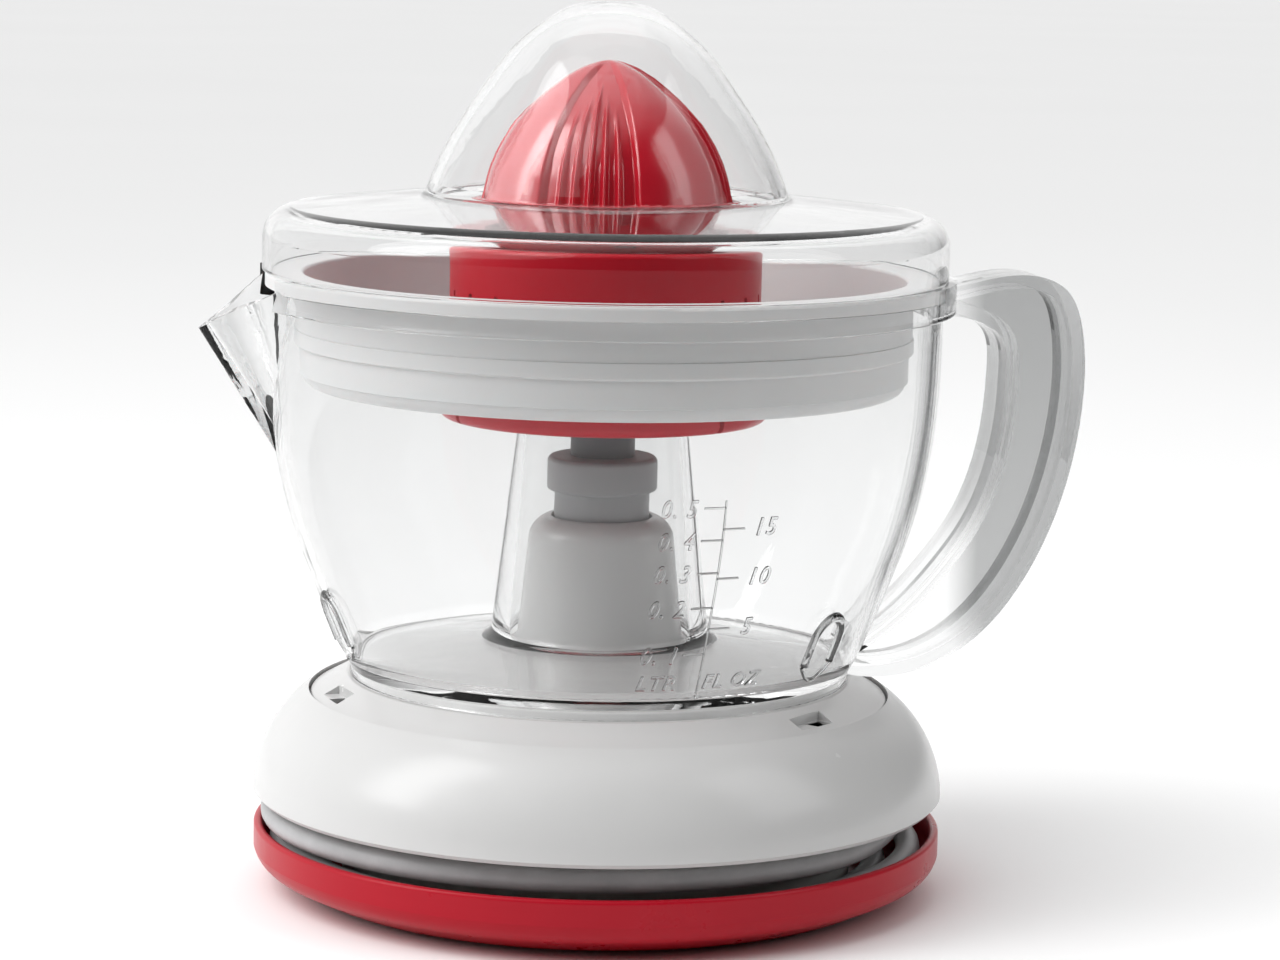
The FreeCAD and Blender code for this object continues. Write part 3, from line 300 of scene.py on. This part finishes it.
def clear_finish(name, tint, ior, roughness=0.012, coat=0.0, handle_painted_shade=None):
    """Clear moulded plastic: a grey tint, long flow waves and fine wiping marks. Lamps shine through it.

    The last argument is (start, end, colour): painted shade, a darker tint painted along X over the jug's
    handle."""
    finish = Finish(name)
    waves = finish.noise(38.0, 2.0, 0.5, finish.stretched((1.0, 1.0, 0.35)))
    marks = finish.noise(520.0, 2.0, 0.4, finish.stretched((0.3, 5.0, 1.0)))
    gloss = finish.ranged(marks, 0.62, 0.8, roughness, roughness + 0.03)
    hue = finish.blend(finish.ranged(waves, 0.3, 0.7, 0.0, 1.0), tint, shade(tint, 0.985))
    # painted shade: the tint turns darker along X from start to end, over the handle
    if handle_painted_shade:
        start, end, painted_shade_tint = handle_painted_shade
        split = finish.node("ShaderNodeSeparateXYZ")
        finish.join(finish.place, split.inputs[0])
        hue = finish.blend(finish.ranged(split.outputs["X"], start, end, 0.0, 1.0), hue, painted_shade_tint)
    finish.use(Base_Color=hue, Roughness=gloss, IOR=ior, Transmission_Weight=1.0, Coat_Weight=coat,
               Normal=finish.bump(waves, 0.00012, 0.5))
    path = finish.node("ShaderNodeLightPath")
    passing = finish.node("ShaderNodeBsdfTransparent")
    finish.fill(passing, Color=(0.985, 0.985, 0.985, 1.0))
    either = finish.maths("MAXIMUM", path.outputs["Is Shadow Ray"], path.outputs["Is Diffuse Ray"])
    joined = finish.node("ShaderNodeMixShader")
    finish.join(either, joined.inputs[0])
    finish.join(finish.shader.outputs[0], joined.inputs[1])
    finish.join(passing.outputs[0], joined.inputs[2])
    finish.join(joined.outputs[0], finish.output.inputs["Surface"])
    return finish.material


def metal(name, colour, roughness, brush=(1.0, 1.0, 30.0)):
    """Machined metal: brush lines along the mapped axes and clouded gloss."""
    finish = Finish(name)
    lines = finish.noise(300.0, 3.0, 0.6, finish.stretched(brush))
    clouds = finish.noise(160.0, 2.0)
    body = finish.blend(clouds, shade(colour, 0.9), shade(colour, 1.08))
    gloss = finish.ranged(lines, 0.25, 0.75, roughness * 0.75, roughness * 1.35)
    finish.use(Base_Color=body, Metallic=1.0, Roughness=gloss, Normal=finish.bump(lines, 0.00002, 0.6))
    return finish.material


def soft_rubber(name, colour, roughness=0.62):
    """Rubber or soft vinyl: dull, with a dusty bloom and a fine grain."""
    finish = Finish(name)
    dust = finish.noise(90.0, 4.0, 0.65)
    body = finish.blend(finish.ranged(dust, 0.35, 0.75, 0.0, 1.0), colour, shade(colour, 1.25))
    grain = finish.noise(1800.0, 3.0, 0.6)
    finish.use(Base_Color=body, Roughness=finish.ranged(dust, 0.3, 0.7, roughness * 0.9, roughness * 1.15),
               Normal=finish.bump(grain, 0.00003, 0.7), Sheen_Weight=0.08)
    return finish.material


def copper_winding(name):
    """Enamelled copper wire laid side by side: fine grooves round each leg of the core, with painted shade
    darkening the grooves and lighter wire tops.
    """
    finish = Finish(name)
    turns_and_painted_shade = finish.node("ShaderNodeTexWave", wave_type="BANDS", bands_direction="Y")
    finish.fill(turns_and_painted_shade, Vector=finish.place, Scale=1100.0, Distortion=0.4, Detail=1.0)
    # painted shade: the copper is darker in the grooves between turns and lighter on their tops
    body = finish.blend(turns_and_painted_shade.outputs["Fac"], (0.35, 0.09, 0.03), (0.78, 0.31, 0.12))
    finish.use(Base_Color=body, Metallic=0.9, Roughness=0.34, Coat_Weight=0.5, Coat_Roughness=0.15,
               Normal=finish.bump(turns_and_painted_shade.outputs["Fac"], 0.0002, 0.8))
    return finish.material


def laminated(name):
    """Stacked motor sheets: fine level lines and a dark oily surface."""
    finish = Finish(name)
    sheets = finish.node("ShaderNodeTexWave", wave_type="BANDS", bands_direction="Z")
    finish.fill(sheets, Vector=finish.place, Scale=640.0, Distortion=0.2, Detail=1.0)
    rust = finish.noise(120.0, 4.0, 0.7)
    body = finish.blend(finish.ranged(rust, 0.5, 0.8, 0.0, 1.0), (0.16, 0.17, 0.18), (0.2, 0.12, 0.08))
    finish.use(Base_Color=body, Metallic=0.8, Roughness=finish.ranged(rust, 0.3, 0.7, 0.35, 0.55),
               Normal=finish.bump(sheets.outputs["Fac"], 0.00015, 0.7))
    return finish.material


def floor_finish():
    """Matt pale paper with the faintest clouds, and painted shade: greyer towards the camera."""
    finish = Finish("pale_floor")
    clouds = finish.noise(1.3, 2.0)
    paper = finish.blend(clouds, *FLOOR_PAPER)
    split = finish.node("ShaderNodeSeparateXYZ")
    finish.join(finish.place, split.inputs[0])
    # painted shade: grey on the camera's side of the floor, pale paper beyond
    body = finish.blend(finish.ranged(split.outputs["Y"], *FLOOR_PAINTED_SHADE_SPAN, 0.0, 1.0), FLOOR_PAINTED_SHADE, paper)
    fibres = finish.noise(900.0, 2.0)
    finish.use(Base_Color=body, Roughness=0.9, Specular_IOR_Level=0.1,
               Normal=finish.bump(fibres, 0.00003, 0.3))
    return finish.material


WHITE = (0.59, 0.59, 0.587)
RED = (0.42, 0.006, 0.018)
CONE_RED = (0.50, 0.008, 0.022)
DRUM_RED = (0.46, 0.004, 0.016)

finishes = {
    "white": moulded("white_gloss_plastic", WHITE, 0.24, vary=0.012),
    "inner_white": moulded("plain_white_plastic", (0.62, 0.62, 0.60), 0.45, grain=0.00002, vary=0.03),
    "red": moulded("red_plastic", RED, 0.30, vary=0.04, shine=0.2),
    "cone_red": moulded("red_reamer_plastic", CONE_RED, 0.20, depth=0.06, coat=0.8, vary=0.03),
    "drum_red": moulded("red_strainer_plastic", DRUM_RED, 0.32, vary=0.03, shine=0.25),
    "basket": moulded("milky_basket_plastic", (0.61, 0.61, 0.61), 0.34, depth=0.15, vary=0.015),
    "grey": moulded("grey_coupling_plastic", (0.33, 0.33, 0.335), 0.42, grain=0.00002, vary=0.04),
    "dark": moulded("dark_shaft_plastic", (0.09, 0.09, 0.095), 0.4, grain=0.00002, vary=0.05),
    "gear": moulded("natural_gear_plastic", (0.66, 0.64, 0.56), 0.38, depth=0.2, vary=0.04),
    # the jug's handle, beyond X = 81 mm, gets painted shade: a much darker tint
    "clear": clear_finish("clear_jug_plastic", (0.93, 0.933, 0.933), ior=1.33,
                          handle_painted_shade=(0.081, 0.088, (0.47, 0.475, 0.475))),
    "clear_mark": clear_finish("clear_raised_marks", (0.86, 0.865, 0.865), roughness=0.06, ior=1.42),
    "clear_lid": clear_finish("clear_lid_plastic", (0.958, 0.96, 0.96), roughness=0.03, ior=1.15, coat=0.4),
    "steel": metal("turned_steel", (0.62, 0.62, 0.63), 0.24),
    "zinc": metal("zinc_plate", (0.55, 0.56, 0.57), 0.38, (6.0, 1.0, 1.0)),
    "bronze": metal("sintered_bronze", (0.60, 0.38, 0.18), 0.42),
    "pins": metal("nickel_pins", (0.72, 0.70, 0.66), 0.2, (20.0, 1.0, 1.0)),
    "magnet": moulded("ferrite_magnet", (0.045, 0.045, 0.05), 0.55, grain=0.00004),
    "copper": copper_winding("copper_winding"),
    "core": laminated("motor_sheets"),
    "rubber": soft_rubber("grey_rubber", (0.10, 0.10, 0.105)),
    "sheath": soft_rubber("grey_cord_sheath", (0.36, 0.36, 0.365), 0.42),
    "wire": soft_rubber("wire_insulation", (0.25, 0.11, 0.04), 0.5),
}

NODE_FINISHES = {
    "white": ("base_housing", "top_deck"),
    "inner_white": ("cord_spool", "coil_bobbin_right", "coil_bobbin_left", "microswitch_body", "cord_clamp"),
    "red": ("bottom_tray",),
    "cone_red": ("reamer_core",),
    "drum_red": ("strainer_dome", "pulp_ring"),
    "basket": ("pulp_basket",),
    "grey": ("drive_coupling", "switch_plunger"),
    "dark": ("reamer_shaft",),
    "gear": ("idler_gear", "drive_gear", "rotor_pinion"),
    "clear": ("jug",),
    "clear_lid": ("lid",),
    "steel": ("spindle_shaft", "rotor_shaft", "idler_axle", "spindle_clip", "return_spring", "tray_screws",
              "housing_screws", "gearbox_screws", "cover_screws", "thrust_washer"),
    "zinc": ("gearbox_plate", "gearbox_cover"),
    "bronze": ("rotor_bush_lower", "rotor_bush_upper", "spindle_foot_bush", "spindle_bush_lower",
               "spindle_bush_upper"),
    "pins": ("plug_pins",),
    "magnet": ("rotor_magnet",),
    "copper": ("winding_right", "winding_left"),
    "core": ("stator_core",),
    "rubber": ("foot_ring", "cord_grommet", "spindle_seal"),
    "sheath": ("plug_boot", "mains_plug", "cord_end"),
    "wire": ("lead_wires",),
}


def dress(piece, finish):
    piece.data.materials.clear()
    piece.data.materials.append(finishes[finish])


# ---------------------------------------------------------------- mains cord
CORD_R = 2.75 * MM
GROMMET_OUT = (-42.42 * MM, 42.47 * MM, 8.6 * MM)
FIRST_BEND = (-54.7, 40.3, 8.6)
# angle round the spindle, radius, height
WINDING = [(166.0, 69.3, 7.4), (203.0, 64.5, 6.8), (240.0, 63.4, 6.3), (425.0, 63.6, 6.4),
           (492.0, 71.6, 10.2), (520.0, 71.8, 10.4), (640.0, 71.2, 9.8), (780.0, 71.4, 10.4),
           (850.0, 72.4, 16.2), (905.0, 74.3, 17.4), (990.0, 68.4, 16.8), (1050.0, 70.6, 17.4)]
WINDING_STEP = 30.0
TAIL_ROUTE = [(70.8, -5.0, 17.6), (72.8, 23.0, 18.1), (70.3, 49.0, 17.2), (60.0, 72.2, 12.0),
              (42.5, 88.6, 7.6), (25.0, 96.0, 7.0), (8.0, 96.0, 7.0)]
# how far from the axis a spline of order 3 runs, as a share of its control points' distance, when they are 30
# degrees apart
SPLINE_SHARE = 0.9662


def make_cord():
    """The cord as one line: out of the grommet, wound in the groove, then off to its plug behind the base."""
    route = [Vector(GROMMET_OUT), Vector(FIRST_BEND) * MM]
    angle = WINDING[0][0]
    while angle < WINDING[-1][0]:
        radius, z = between(WINDING, angle)
        route.append(polar(radius / SPLINE_SHARE * MM, angle, z * MM))
        angle += WINDING_STEP
    route += [Vector(point) * MM for point in TAIL_ROUTE]
    data = bpy.data.curves.new("mains_cord", "CURVE")
    data.dimensions = "3D"
    data.resolution_u = 12
    data.bevel_depth = CORD_R
    data.bevel_resolution = 6
    data.use_fill_caps = True
    spline = data.splines.new("NURBS")
    spline.points.add(len(route) - 1)
    for point, place in zip(spline.points, route):
        point.co = (*place, 1.0)
    spline.order_u = 3
    spline.use_endpoint_u = True
    cord = link("mains_cord", data)
    dress(cord, "sheath")
    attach(cord, "base")
    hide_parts("cord_coil", "cord_tail")


# ---------------------------------------------------------------- large cone
CONE_SIDE = [(29.2, 155.2), (27.1, 163.6), (23.3, 171.0), (19.1, 176.3), (14.0, 180.9), (7.6, 185.0),
             (0.0, 186.9)]
CONE_FLANGE = [(25.6, 154.0), (30.1, 154.0), (30.4, 154.15), (30.5, 154.45), (30.5, 154.8), (30.35, 155.1),
               (30.05, 155.2), (29.5, 155.22)]
LINING_R, LINING_RISE, LINING_FOOT, LINING_TOP = 26.2, 28.5, 154.0, 182.6
LOBE_ANGLE, LOBE_HALF, LOBE_EVERY, LOBE_FALL = 27.0, 22.0, 90.0, 0.675
VALLEY_DEPTH = 2.4
FADE_R, RIB_FULL_R = 9.0, 22.0
RIB_TURNS = (-14.0, -7.0, 0.0, 7.0, 14.0)
RIB_HEIGHTS = (1.3, 1.45, 1.6, 1.45, 1.3)
RIB_HALF_WIDTH = 1.35
CONE_STEPS, CONE_RINGS = 720, 90


def curve_through(points, steps):
    """Evenly many places on a smooth line through (radius, height) points; it ends level at the axis."""
    knots = [Vector(point) for point in points]
    before = knots[0] * 2 - knots[1]
    after = Vector((-knots[-2].x, knots[-2].y))
    knots = [before] + knots + [after]
    line = []
    for a, b, c, d in zip(knots, knots[1:], knots[2:], knots[3:]):
        for i in range(steps):
            t = i / steps
            line.append(0.5 * (2 * b + (c - a) * t + (2 * a - 5 * b + 4 * c - d) * t * t
                               + (3 * b - a - 3 * c + d) * t ** 3))
    line.append(knots[-2])
    return line


def step(value, low, high):
    return ease(min(1.0, max(0.0, (value - low) / (high - low))))


def cone_relief(angle, radius, rise):
    """How far the cone's skin lies inside its outer line, in mm: lobes, valleys and the ribs in them."""
    from_lobe = abs((angle - LOBE_ANGLE + LOBE_EVERY / 2) % LOBE_EVERY - LOBE_EVERY / 2)
    edge_mm = (LOBE_HALF - from_lobe) * math.radians(1) * max(radius, 1.0)
    lobe = step(edge_mm, -0.9, 0.5)
    depth = mix(VALLEY_DEPTH, LOBE_FALL * min(1.0, from_lobe / LOBE_HALF) ** 2, lobe)
    in_valley = (angle - LOBE_ANGLE) % LOBE_EVERY - LOBE_EVERY / 2
    for turn, height in zip(RIB_TURNS, RIB_HEIGHTS):
        off_line = (in_valley - turn) / RIB_HALF_WIDTH
        reach = step(1.0 - rise, 0.12 + abs(turn) * 0.012, 0.30 + abs(turn) * 0.02)
        depth -= height * min(1.0, radius / RIB_FULL_R) * reach * math.exp(-off_line ** 2) * (1 - lobe)
    return depth * min(1.0, radius / FADE_R)


def make_cone():
    """The large cone: broad glossy lobes, recessed valleys with fine ribs, and a thin flange at its foot."""
    side = curve_through(CONE_SIDE, CONE_RINGS // (len(CONE_SIDE) - 1))
    foot, tip = CONE_SIDE[0][1], CONE_SIDE[-1][1]
    lining = [(LINING_R * math.cos(math.radians(a)), LINING_FOOT + LINING_RISE * math.sin(math.radians(a)))
              for a in range(84, -1, -6)]
    points = []
    rows = []
    for i in range(CONE_STEPS):
        angle = 360.0 * i / CONE_STEPS
        row = [polar(radius, angle, z) for radius, z in CONE_FLANGE]
        for place in side[:-1]:
            depth = cone_relief(angle, place.x, (place.y - foot) / (tip - foot))
            drop = depth * 0.25 * (1 - place.x / 29.0)
            row.append(polar(max(place.x - depth, 0.05), angle, place.y - drop))
        rows.append(len(points))
        points += row
    count = len(CONE_FLANGE) + len(side) - 1
    next_rows = rows[1:] + rows[:1]
    faces = []
    for here, there in zip(rows, next_rows):
        faces += strip(here, there, count)
    top = len(points)
    points.append(Vector((0, 0, tip)))
    faces += [(here + count - 1, there + count - 1, top) for here, there in zip(rows, next_rows)]
    inner_rows = []
    for i in range(CONE_STEPS):
        inner_rows.append(len(points))
        points += [polar(radius, 360.0 * i / CONE_STEPS, z) for radius, z in lining]
    next_inner_rows = inner_rows[1:] + inner_rows[:1]
    edge = len(lining) - 1
    for here, there, outer, next_outer in zip(inner_rows, next_inner_rows, rows, next_rows):
        faces += strip(here, there, len(lining))
        faces.append((here + edge, there + edge, next_outer, outer))
    crown = len(points)
    points.append(Vector((0, 0, LINING_TOP)))
    faces += [(there, here, crown) for here, there in zip(inner_rows, next_inner_rows)]
    cone = link("ribbed_cone", smooth_mesh("ribbed_cone", [point * MM for point in points], faces))
    dress(cone, "cone_red")
    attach(cone, "large_cone")
    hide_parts("reamer_cone")


# ---------------------------------------------------------------- marks on the jug
SCALE_ANGLE = 281.2
SCALE_LINE = (98.6, 53.5)
LITRES = [(97.0, "0. 5"), (89.9, "0. 4"), (82.6, "0. 3"), (74.7, "0. 2"), (64.0, "0. 1")]
OUNCES = [(92.3, "15"), (81.3, "10"), (69.8, "5")]
TICK = 4.8
LITRE_LEFT, LITRE_RIGHT, OUNCE_LEFT, OUNCE_LIFT = -13.9, -6.2, 7.7, 0.3
UNITS = [("LTR", -13.7, -5.3), ("FL OZ", 1.0, 15.0)]
UNIT_Z = 57.6
DIGIT_HEIGHT, UNIT_HEIGHT, DIGIT_WIDTH = 3.9, 3.3, 2.4
LINE_WIDTH, LINE_RISE = 0.50, 0.38
RIDGE_SIDES = 6
SUNK = 0.05
SLANT, SPACING, BOLD = 0.22, 1.15, 0.010
LUG_ANGLES = (72.0, 192.0, 312.0)
LUG_R, LUG_ARCH_Z, LUG_FOOT_Z, LUG_LEG_Z = 4.6, 64.5, 58.5, 64.0
LUG_WIDTH, LUG_RISE = 2.3, 1.2
HEEL_HALF, HEEL_Z, HEEL_DROP, HEEL_STEPS = 5.2, 58.2, 3.6, 12
HEEL_WIDTH, HEEL_RISE = 0.9, 0.7
OUTSIDE_JUG = 0.12


class Relief:
    """Raised marks on the outside of the jug, placed in mm along the wall from a meridian and in height."""

    def __init__(self, wall, meridian):
        self.wall = wall
        self.meridian = meridian
        self.points = []
        self.faces = []

    def place(self, across, height, rise):
        """The point of the wall there, moved outward by rise."""
        spot = None
        angle = self.meridian
        for _ in range(2):
            way = polar(1.0, angle)
            spot, normal, _, _ = self.wall.ray_cast(way * OUTSIDE_JUG + Vector((0, 0, height * MM)), -way)
            angle = self.meridian + math.degrees(across * MM / math.hypot(spot.x, spot.y))
        return spot + normal * (rise * MM)

    def ridge(self, line, width, rise):
        """A half-round bead along the (across, height) places."""
        start = len(self.points)
        count = RIDGE_SIDES + 1
        for i, (across, height) in enumerate(line):
            before, after = Vector(line[max(i - 1, 0)]), Vector(line[min(i + 1, len(line) - 1)])
            run = (after - before).normalized()
            for j in range(count):
                turn = math.pi * j / RIDGE_SIDES
                side = math.cos(turn) * width / 2
                self.points.append(self.place(across - run.y * side, height + run.x * side,
                                              math.sin(turn) * rise - SUNK))
        rows = [start + i * count for i in range(len(line))]
        for here, there in zip(rows, rows[1:]):
            self.faces += [(here + j, here + j + 1, there + j + 1, there + j) for j in range(RIDGE_SIDES)]
            self.faces.append((here + RIDGE_SIDES, here, there, there + RIDGE_SIDES))
        self.faces.append(tuple(range(rows[0], rows[0] + count))[::-1])
        self.faces.append(tuple(range(rows[-1], rows[-1] + count)))

    def text(self, words, left, right, middle, height):
        """Slanted letters that fill the box from left to right, centred on a height."""
        data = bpy.data.curves.new("letters", "FONT")
        data.body = words
        data.shear = SLANT
        data.space_character = SPACING
        data.extrude = 0.05
        data.offset = BOLD
        data.resolution_u = 4
        letters = link("letters", data)
        bpy.context.view_layer.update()
        shaped = letters.evaluated_get(bpy.context.evaluated_depsgraph_get())
        mesh = bpy.data.meshes.new_from_object(shaped)
        low = [min(v.co[k] for v in mesh.vertices) for k in range(3)]
        high = [max(v.co[k] for v in mesh.vertices) for k in range(3)]
        start = len(self.points)
        for vertex in mesh.vertices:
            share = [(vertex.co[k] - low[k]) / (high[k] - low[k]) for k in range(3)]
            self.points.append(self.place(mix(left, right, share[0]), middle + (share[1] - 0.5) * height,
                                          mix(-SUNK, LINE_RISE, share[2])))
        self.faces += [tuple(start + index for index in face.vertices) for face in mesh.polygons]
        bpy.data.objects.remove(letters)

    def finish(self, name):
        mesh = bpy.data.meshes.new(name)
        mesh.from_pydata(self.points, [], self.faces)
        mesh.update()
        piece = link(name, mesh)
        dress(piece, "clear_mark")
        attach(piece, "jug_body")


def straight(x0, z0, x1, z1, steps):
    return [(mix(x0, x1, i / steps), mix(z0, z1, i / steps)) for i in range(steps + 1)]


def make_jug_marks():
    """The measuring scale on the front of the jug and the arched lugs above the deck's recesses."""
    jug = nodes["jug"]
    places = [jug.matrix_world @ vertex.co for vertex in jug.data.vertices]
    wall = BVHTree.FromPolygons(places, [tuple(face.vertices) for face in jug.data.polygons])
    scale = Relief(wall, SCALE_ANGLE)
    scale.ridge(straight(0, SCALE_LINE[0], 0, SCALE_LINE[1], 40), LINE_WIDTH, LINE_RISE)
    for height, words in LITRES:
        scale.ridge(straight(-TICK, height, 0, height, 4), LINE_WIDTH, LINE_RISE)
        scale.text(words, LITRE_LEFT, LITRE_RIGHT, height, DIGIT_HEIGHT)
    for height, words in OUNCES:
        scale.ridge(straight(0, height, TICK, height, 4), LINE_WIDTH, LINE_RISE)
        right = OUNCE_LEFT + DIGIT_WIDTH * len(words)
        scale.text(words, OUNCE_LEFT, right, height + OUNCE_LIFT, DIGIT_HEIGHT)
    for words, left, right in UNITS:
        scale.text(words, left, right, UNIT_Z, UNIT_HEIGHT)
    scale.finish("measuring_scale")
    for number, angle in enumerate(LUG_ANGLES):
        lug = Relief(wall, angle)
        bow = [(LUG_R * math.cos(math.radians(a)), LUG_ARCH_Z + LUG_R * math.sin(math.radians(a)))
               for a in range(0, 181, 12)]
        right_leg = straight(LUG_R, LUG_FOOT_Z, LUG_R, LUG_LEG_Z, 3)
        left_leg = straight(-LUG_R, LUG_LEG_Z, -LUG_R, LUG_FOOT_Z, 3)
        lug.ridge(right_leg + bow + left_leg, LUG_WIDTH, LUG_RISE)
        heel = [(mix(-HEEL_HALF, HEEL_HALF, i / HEEL_STEPS),
                 HEEL_Z - HEEL_DROP * math.sin(math.pi * i / HEEL_STEPS)) for i in range(HEEL_STEPS + 1)]
        lug.ridge(heel, HEEL_WIDTH, HEEL_RISE)
        lug.finish(f"jug_lug_{number + 1}")


make_camera()
make_studio()
for finish, names in NODE_FINISHES.items():
    for name in names:
        dress(nodes[name], finish)
make_cord()
make_cone()
make_jug_marks()
